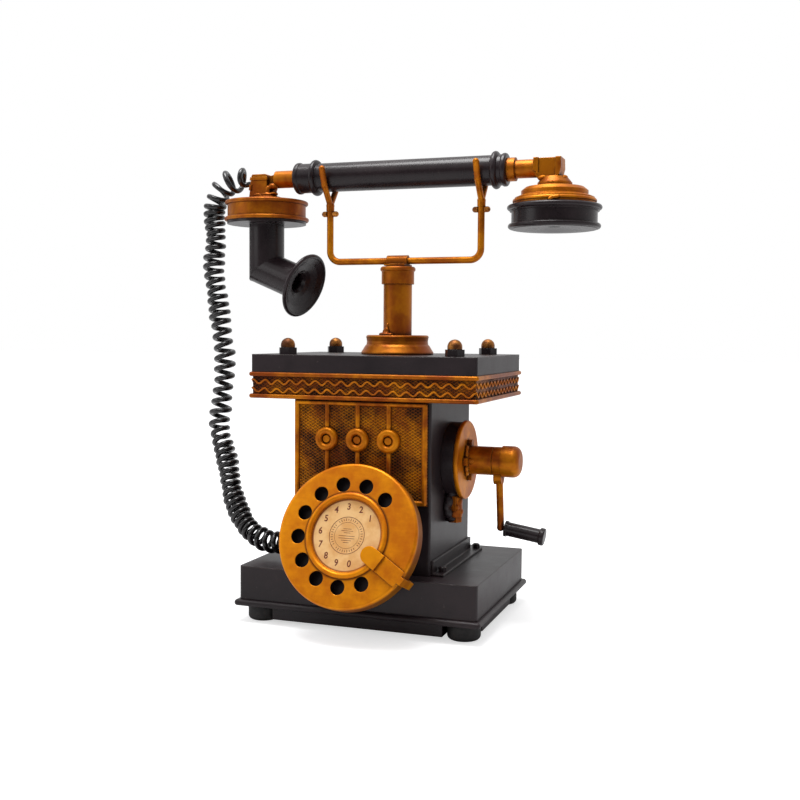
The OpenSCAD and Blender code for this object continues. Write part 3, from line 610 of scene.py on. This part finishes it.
def softRubber(name):
    paint = paintMix(name)
    cloud = paint.grain(0.005, 4, 0.6)
    fine = paint.grain(0.0004, 3, 0.7)
    shade = paint.mixed(cloud.fade(0.35, 0.65), tint(28, 26, 27), tint(48, 45, 44))
    return paint.set(Base_Color=shade, Roughness=0.62 + fine * 0.2,
                     Normal=paint.bump(fine, 0.0002, 0.4, paint.roundedEdges(0.0006)))


def cordJacket(name):
    paint = paintMix(name)
    cloud = paint.grain(0.012, 3, 0.6)
    fine = paint.grain(0.0005, 3, 0.6)
    shade = paint.mixed(cloud.fade(0.35, 0.65), tint(13, 11, 12), tint(27, 24, 26))
    return paint.set(Base_Color=shade, Roughness=0.18 + cloud * 0.12,
                     Normal=paint.bump(fine, 0.0001, 0.15), Coat_Weight=0.25, Coat_Roughness=0.15)


# bright and dark lighten and deepen the gold, creviceShade paints shade into corners as wide as
# reach, edge is the rounding in metres and streak the way the brush went
goldFinishes = {
    "dialGold": {"bright": 0.95, "creviceShade": 0.75, "edge": 0.0006, "reach": 0.0035,
                 "streak": (5, 1, 1), "wheel": True},
    "stopGold": {"bright": 0.9, "creviceShade": 0.7, "edge": 0.0005, "reach": 0.003,
                 "streak": (1, 6, 1)},
    "castGold": {"bright": 0.45, "creviceShade": 0.85, "edge": 0.0005, "reach": 0.006,
                 "streak": (1, 1, 3), "dark": 0.5},
    "capGold": {"bright": 0.7, "creviceShade": 0.8, "edge": 0.0005, "reach": 0.005,
                "streak": (1, 1, 3), "dark": 0.12},
    # the drum face's gold is painted lighter than the crank gold beside it, for the light falling
    # on that side: painted light
    "litDrumGold": {"bright": 0.7, "creviceShade": 0.8, "edge": 0.0005, "reach": 0.006,
                 "streak": (1, 1, 1), "dark": 0.1},
    "rodGold": {"bright": 0.55, "creviceShade": 0.6, "edge": 0.0003, "reach": 0.004,
                "streak": (3, 1, 1), "dark": 0.2},
    "crankGold": {"bright": 0.3, "creviceShade": 0.8, "edge": 0.0004, "reach": 0.006,
                  "streak": (4, 1, 1), "dark": 0.4},
    "panelGold": {"bright": 0.2, "creviceShade": 0.95, "edge": 0.0003, "reach": 0.005,
                  "streak": (1, 1, 3), "dark": 0.2, "screen": panelScreen},
    "bandGold": {"bright": 0.25, "creviceShade": 0.95, "edge": 0.0003, "reach": 0.004,
                 "streak": (4, 1, 1), "dark": 0.45, "screen": bandScreen},
    "ribGold": {"bright": 0.6, "creviceShade": 0.6, "edge": 0.0002, "reach": 0.0022,
                "streak": (3, 1, 1), "dark": 0.25},
}
blackFinishes = {
    "bodyBlack": {"rough": 0.38, "edge": 0.0011, "rub": 0.8},
    "mouldedBlack": {"rough": 0.28, "edge": 0.0004, "rub": 0.3, "dust": 0.3, "sheen": 0.08,
                     "uneven": 0.1},
    "screwBlack": {"rough": 0.32, "edge": 0.0003, "rub": 0.6, "dust": 0.1, "sheen": 0.15},
}
finishes = {
    "agedBrass": agedBrass("agedBrass"),
    "domeBrass": agedBrass("domeBrass", shade=1.0, tarnish=0.3),
    "cleanBrass": agedBrass("cleanBrass", shade=0.2),
    "steel": plainSteel("steel"),
    "magnet": plainSteel("magnet", colour=(46, 46, 50), rough=0.45, metal=0.6, streak=(1, 1, 1)),
    "winding": copperWinding("winding"),
    "card": creamCard("card"),
    "ink": printInk("ink"),
    "board": insulatingBoard("board"),
    "rubber": softRubber("rubber"),
    "jacket": cordJacket("jacket"),
}
for name, values in goldFinishes.items():
    finishes[name] = antiqueGold(name, **values)
for name, values in blackFinishes.items():
    finishes[name] = satinBlack(name, **values)

coats = {
    "bodyBlack": "base_pan bottom_plate body_case body_skirt top_slab crank_drum dial_stem "
                 "dial_case dial_plate",
    "mouldedBlack": "crank_grip handle_tube handle_ferrules mouthpiece_elbow mouthpiece_flare "
                    "receiver_cup",
    "screwBlack": "skirt_screws stud_nuts",
    "dialGold": "finger_wheel",
    "stopGold": "finger_stop",
    "castGold": "post_flange cradle_post post_collar cradle_saddle transmitter_case handle_stubs",
    "capGold": "receiver_cap",
    "litDrumGold": "drum_face",
    "rodGold": "cradle_yoke cradle_forks",
    "crankGold": "drum_lug bearing_neck crank_arm crank_cap",
    "panelGold": "front_panel",
    "bandGold": "cornice_trim",
    "ribGold": "ring_bosses line_button_1 line_button_2 line_button_3",
    "agedBrass": "fork_rivets",
    "domeBrass": "acorn_caps",
    "cleanBrass": "dial_shaft pulse_wheel bell_gongs",
    "steel": "hook_plunger hook_spring dial_spring crank_shaft magneto_frame ringer_frame clapper "
             "transmitter_capsule receiver_unit",
    "magnet": "magneto_magnets",
    "winding": "magneto_armature",
    "card": "dial_card",
    "board": "hook_switch",
    "rubber": "feet",
    "jacket": "cord_gland",
}


def coat(piece, finish):
    piece.data.materials.clear()
    piece.data.materials.append(finishes[finish])


def finishPiece(piece, finish, body):
    coat(piece, finish)
    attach(piece, body)


for finish, names in coats.items():
    for name in names.split():
        coat(nodes[name], finish)
coat(cord, "jacket")
print("finishes on")

# tapered sleeve round the cord where it leaves the housing, in millimetres
cordSleeve = {
    "start": -43.6,
    "y": -29.0,
    "z": 39.5,
    "length": 10.5,
    "wide": 3.6,
    "narrow": 2.35,
    "sides": 40,
    "grooves": 5,
    "depth": 0.35,
    "margin": 1.2,  # plain at both ends
    "smoothAngle": 35,
}


def makeCordSleeve():
    start, y, z = cordSleeve["start"], cordSleeve["y"], cordSleeve["z"]
    length, margin = cordSleeve["length"], cordSleeve["margin"]
    cuts = cordSleeve["grooves"] * 2 - 1
    clearSelection()
    bpy.ops.mesh.primitive_cone_add(
        vertices=cordSleeve["sides"], radius1=cordSleeve["wide"] / 1000,
        radius2=cordSleeve["narrow"] / 1000, depth=length / 1000, end_fill_type="NGON",
        location=at(start - length / 2, y, z), rotation=(0, math.radians(-90), 0))
    sleeve = bpy.context.object
    sleeve.name = "cordSleeve"
    freeze(sleeve)
    bpy.ops.object.mode_set(mode="EDIT")
    for cut in range(cuts + 1):  # bands cut across, every other one sunk
        where = start - margin - cut * (length - 2 * margin) / cuts
        bpy.ops.mesh.select_all(action="SELECT")
        bpy.ops.mesh.bisect(plane_co=at(where, y, z), plane_no=(1, 0, 0))
    pick(sleeve)
    mouth = at(start, y, z)
    for vertex in sleeve.data.vertices:
        step = ((mouth.x - vertex.co.x) * 1000 - margin) * cuts / (length - 2 * margin)
        if 0.5 < step < cuts - 0.5 and round(step) % 2:
            out = Vector((0, vertex.co.y - mouth.y, vertex.co.z - mouth.z))
            vertex.co -= out.normalized() * cordSleeve["depth"] / 1000
    bpy.ops.object.shade_smooth_by_angle(angle=math.radians(cordSleeve["smoothAngle"]))
    finishPiece(sleeve, "rubber", "housing")


makeCordSleeve()
print("cord sleeve made")

# wavy ribs round the cornice, in millimetres
waveRibs = {
    "heights": (130.2, 125.6),
    "phases": (1.2, 1.7),
    "period": 7.2,
    "swing": 1.15,
    "swingWander": (0.12, 0.37),  # share of the swing, and how fast it comes and goes
    "heightWander": (0.10, 0.11),
    "thick": 1.15,
    "sides": 6,
    "perPeriod": 12,
    "inset": 1.7,
    "proud": 0.15,
}


def makeWave(name, start, finish, outward, height, phase):
    span = finish - start
    count = max(2, round(span.length / (waveRibs["period"] / 1000)))
    total = count * waveRibs["perPeriod"]
    swingShare, swingRate = waveRibs["swingWander"]
    heightShare, heightRate = waveRibs["heightWander"]
    points = []
    for step in range(total + 1):
        share = step / total
        swing = math.sin(share * count * 2 * math.pi + phase) * waveRibs["swing"]
        swing *= 1 + swingShare * math.sin(step * swingRate + phase)
        spot = start + span * share + outward * (waveRibs["proud"] / 1000)
        spot.z = (height + swing + heightShare * math.sin(step * heightRate + phase)) / 1000
        points.append(spot)
    return sweptTube(name, points, waveRibs["thick"] / 2000, waveRibs["sides"])


def makeCorniceRibs():
    low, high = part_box("cornice_trim")
    inset = waveRibs["inset"] / 1000
    x0, x1, y0, y1 = low.x + inset, high.x - inset, low.y + inset, high.y - inset
    ends = [Vector((x0, y0, 0)), Vector((x1, y0, 0)), Vector((x1, y1, 0)), Vector((x0, y1, 0))]
    sides = (("Front", (0, -1, 0)), ("Right", (1, 0, 0)), ("Back", (0, 1, 0)), ("Left", (-1, 0, 0)))
    for index, (side, outward) in enumerate(sides):
        start, finish = ends[index], ends[(index + 1) % len(ends)]
        ribs = [makeWave("rib", start, finish, Vector(outward), height, phase)
                for height, phase in zip(waveRibs["heights"], waveRibs["phases"])]
        finishPiece(joinAs("corniceRibs" + side, ribs), "ribGold", "housing")


makeCorniceRibs()
print("cornice ribs made")

# rough lumps that the casting left on the metalwork: for each its body, finish, slot,
# and balls as centre and half sizes in millimetres
castLumps = {
    "postLump": ("housing", "castGold", "gold_paint", [
        (0.2, -4.9, 156.2, 3.2, 2.4, 1.2), (0.4, -4.5, 158.2, 1.7, 1.4, 2.0),
        (0.9, -4.2, 160.8, 0.9, 0.9, 1.9), (-2.6, -3.4, 156.2, 1.9, 1.7, 1.1),
        (3.0, -6.0, 156.2, 2.0, 1.5, 0.9), (-0.9, -4.4, 157.6, 1.1, 1.0, 1.5)]),
    "capLump": ("handset", "capGold", "gold_paint", [
        (95.8, -18.7, 226.8, 2.5, 1.4, 1.2), (94.0, -19.2, 225.9, 1.3, 1.1, 1.2),
        (97.8, -18.3, 227.3, 1.3, 1.2, 0.9)]),
    "drumLump": ("housing", "bodyBlack", "black_paint", [
        (40.2, -13.6, 66.4, 2.7, 2.8, 3.6), (41.4, -12.0, 71.0, 2.6, 2.4, 3.0),
        (40.0, -14.2, 60.4, 2.4, 2.9, 3.2), (41.0, -11.0, 56.8, 3.0, 3.2, 2.0),
        (39.6, -16.4, 63.6, 1.6, 1.8, 2.6)]),
    "drumLugLump": ("housing", "crankGold", "gold_paint", [
        (45.0, -9.6, 66.0, 1.8, 2.6, 2.4), (45.4, -8.6, 60.4, 1.6, 2.2, 2.2),
        (44.0, -12.2, 63.0, 1.8, 1.7, 1.8)]),
    "neckLump": ("housing", "crankGold", "gold_paint", [
        (50.0, -10.4, 88.4, 3.6, 1.5, 1.6), (48.7, -10.0, 91.4, 1.6, 1.7, 2.6),
        (48.7, -10.0, 85.0, 1.6, 1.7, 2.6), (48.6, -8.6, 94.6, 1.3, 1.9, 2.2),
        (48.6, -8.4, 81.8, 1.4, 1.9, 2.0)]),
    "transmitterKnuckleLump": ("handset", "castGold", "gold_paint", [
        (-80.6, -1.6, 236.0, 2.8, 1.7, 1.3), (-75.0, -2.0, 236.0, 3.4, 1.7, 1.2),
        (-71.2, 0.6, 236.6, 2.2, 3.0, 1.3), (-71.8, 0.6, 240.8, 3.2, 2.9, 2.0),
        (-74.2, -1.8, 238.6, 1.4, 1.2, 2.6)]),
    "receiverKnuckleLump": ("handset", "capGold", "gold_paint", [
        (86.2, -1.2, 239.4, 3.0, 1.8, 1.4), (92.8, -1.6, 239.2, 3.4, 1.9, 1.3),
        (97.2, 1.6, 239.4, 1.9, 3.2, 1.3), (83.4, 0.4, 242.6, 1.8, 3.0, 2.6)]),
}
lumpWork = {"subdivisions": 3, "voxel": 0.38, "smoothing": 4, "smoothFactor": 0.5}


def makeBall(x, y, z, wide, deep, tall):
    clearSelection()
    bpy.ops.mesh.primitive_ico_sphere_add(subdivisions=lumpWork["subdivisions"], radius=0.001,
                                          location=at(x, y, z))
    ball = bpy.context.object
    ball.scale = (wide, deep, tall)
    freeze(ball)
    return ball


def makeLump(name, body, finish, balls):
    lump = joinAs(name, [makeBall(*ball) for ball in balls])
    melt = lump.modifiers.new("melt", "REMESH")
    melt.mode, melt.voxel_size = "VOXEL", lumpWork["voxel"] / 1000
    bpy.ops.object.modifier_apply(modifier="melt")
    soften = lump.modifiers.new("soften", "SMOOTH")
    soften.factor, soften.iterations = lumpWork["smoothFactor"], lumpWork["smoothing"]
    bpy.ops.object.modifier_apply(modifier="soften")
    bpy.ops.object.shade_smooth()
    finishPiece(lump, finish, body)


for name, (body, finish, slot, balls) in castLumps.items():
    makeLump(name, body, finish, balls)
print("casting lumps made")


def dialMatrix():
    lean = math.radians(dialFace["lean"])
    across = Vector((1, 0, 0))
    up = Vector((0, math.sin(lean), math.cos(lean)))
    out = Vector((0, -math.cos(lean), math.sin(lean)))
    turn = Matrix((across, up, out)).transposed().to_4x4()
    return Matrix.Translation(at(*dialFace["centre"])) @ turn


def settle(piece, matrix):  # puts a piece drawn flat at its place, with the place in its mesh
    piece.matrix_world = matrix
    freeze(piece)


def makeDigit(symbol, angle):
    clearSelection()
    bpy.ops.object.text_add(location=(0, 0, 0))
    written = bpy.context.object
    written.data.body = symbol
    written.data.size = dialFace["digitHeight"] / 1000
    written.data.align_x, written.data.align_y = "CENTER", "CENTER"
    written.data.extrude = dialFace["digitThick"] / 1000
    written.data.offset = dialFace["digitWeight"] / 1000
    written.data.resolution_u = 4
    bpy.ops.object.convert(target="MESH")
    digit = bpy.context.object
    radius = dialFace["digitRadius"] / 1000
    spot = Matrix.Translation((radius * math.cos(angle), radius * math.sin(angle),
                               dialFace["cardFace"] / 1000))
    settle(digit, dialMatrix() @ spot @ Matrix.Diagonal((dialFace["digitWidth"], 1, 1, 1)))
    return digit


def makeRing(radius, wide):
    count = dialFace["ringPoints"]
    circle = [Vector((radius * math.cos(a), radius * math.sin(a), 0)) / 1000
              for a in (2 * math.pi * index / count for index in range(count))]
    return sweptTube("ring", circle, wide / 1000, 4, closed=True)


def makeMark(x, y, angle, length, wide):
    clearSelection()
    bpy.ops.mesh.primitive_cube_add(size=1, location=(x / 1000, y / 1000, 0),
                                    rotation=(0, 0, angle))
    mark = bpy.context.object
    mark.scale = (length / 1000, wide / 1000, dialFace["markThick"] / 1000)
    freeze(mark)
    return mark


def makeCardPrint():
    digits = joinAs("dialDigits", [
        makeDigit(symbol, math.radians(dialFace["firstAngle"] + dialFace["step"] * index))
        for index, symbol in enumerate(dialFace["digits"])])
    marks = [makeRing(radius, wide) for radius, wide in dialFace["ringRadii"]]
    for height, length in dialFace["lines"]:
        marks.append(makeMark(0, height, 0, length, dialFace["lineWide"]))
    for index in range(dialFace["ticks"]):
        if index % 10 == 5:  # a gap in each quarter
            continue
        angle, radius = 2 * math.pi * index / dialFace["ticks"], dialFace["tickRadius"]
        marks.append(makeMark(radius * math.cos(angle), radius * math.sin(angle), angle,
                              dialFace["tickLengths"][index % 2], dialFace["tickWide"]))
    rings = joinAs("cardRings", marks)
    settle(rings, dialMatrix() @ Matrix.Translation((0, 0, dialFace["cardFace"] / 1000)))
    for piece in (digits, rings):
        finishPiece(piece, "ink", "dial")


makeCardPrint()
print("dial card printed")

studio = {
    "floor": 6.0,
    "paper": ((218, 218, 218), (208, 208, 210)),
    "paperGrain": 0.05,
    "glow": 0.60,  # how much the paper shines, to the eye only
    "slope": (-0.9, 0.7, 0.10, 0.78),  # from a dim room in front to a lit one behind
    "wall": 1.0,  # how bright the room looks to the eye
    # name, place, what it points at, size and power
    "lamps": (
        ("over", (-0.10, -0.10, 1.10), (0.0, 0.0, 0.1), 0.5, 9.0),
        ("left", (-0.80, -0.60, 0.50), (0.0, 0.0, 0.12), 0.5, 1.2),
    ),
    "sky": 1.0,
    "skySpread": 100,
    "skyTilt": (14, -10),
}


def makeFloor():
    clearSelection()
    bpy.ops.mesh.primitive_plane_add(size=studio["floor"] * 2, location=(0, 0, 0))
    floor = bpy.context.object
    floor.name = "floor"
    paint = paintMix("paper")
    cloud = paint.grain(studio["paperGrain"], 3, 0.5)
    straight = paint.node("ShaderNodeLightPath", output="Is Camera Ray")
    paint.set(Base_Color=paint.mixed(cloud, *(tint(*shade) for shade in studio["paper"])),
              Roughness=0.8, Emission_Strength=studio["glow"],
              Emission_Color=paint.mixed(straight, (0, 0, 0, 1), (1, 1, 1, 1)))
    floor.data.materials.append(paint.material)


def makeRoom():
    world = bpy.data.worlds.new("room")
    bpy.context.scene.world = world
    world.use_nodes = True
    tree = world.node_tree
    ground = tree.nodes["Background"]
    ground.inputs[0].default_value = (1, 1, 1, 1)
    spot = tree.nodes.new("ShaderNodeTexCoord")
    split = tree.nodes.new("ShaderNodeSeparateXYZ")
    slope = tree.nodes.new("ShaderNodeMapRange")
    seen = tree.nodes.new("ShaderNodeLightPath")
    choose = tree.nodes.new("ShaderNodeMix")
    for socket, value in enumerate(studio["slope"], 1):
        slope.inputs[socket].default_value = value
    choose.inputs[3].default_value = studio["wall"]
    for one, other in ((spot.outputs["Generated"], split.inputs[0]),
                       (split.outputs[1], slope.inputs[0]),
                       (seen.outputs["Is Camera Ray"], choose.inputs[0]),
                       (slope.outputs[0], choose.inputs[2]),
                       (choose.outputs[0], ground.inputs[1])):
        tree.links.new(one, other)


def hang(name, light):
    holder = bpy.data.objects.new(name, light)
    bpy.context.scene.collection.objects.link(holder)
    return holder


def makeLights():
    for name, place, aim, size, power in studio["lamps"]:
        lamp = bpy.data.lights.new(name, "AREA")
        lamp.shape, lamp.size, lamp.energy = "SQUARE", size, power
        holder = hang(name, lamp)
        holder.location = place
        holder.rotation_euler = (Vector(aim) - Vector(place)).to_track_quat("-Z", "Y").to_euler()
    sky = bpy.data.lights.new("sky", "SUN")
    sky.energy, sky.angle = studio["sky"], math.radians(studio["skySpread"])
    hang("sky", sky).rotation_euler = (*(math.radians(tip) for tip in studio["skyTilt"]), 0)


makeFloor()
makeRoom()
makeLights()
bpy.context.scene.view_settings.view_transform = "Standard"
print("studio lit")
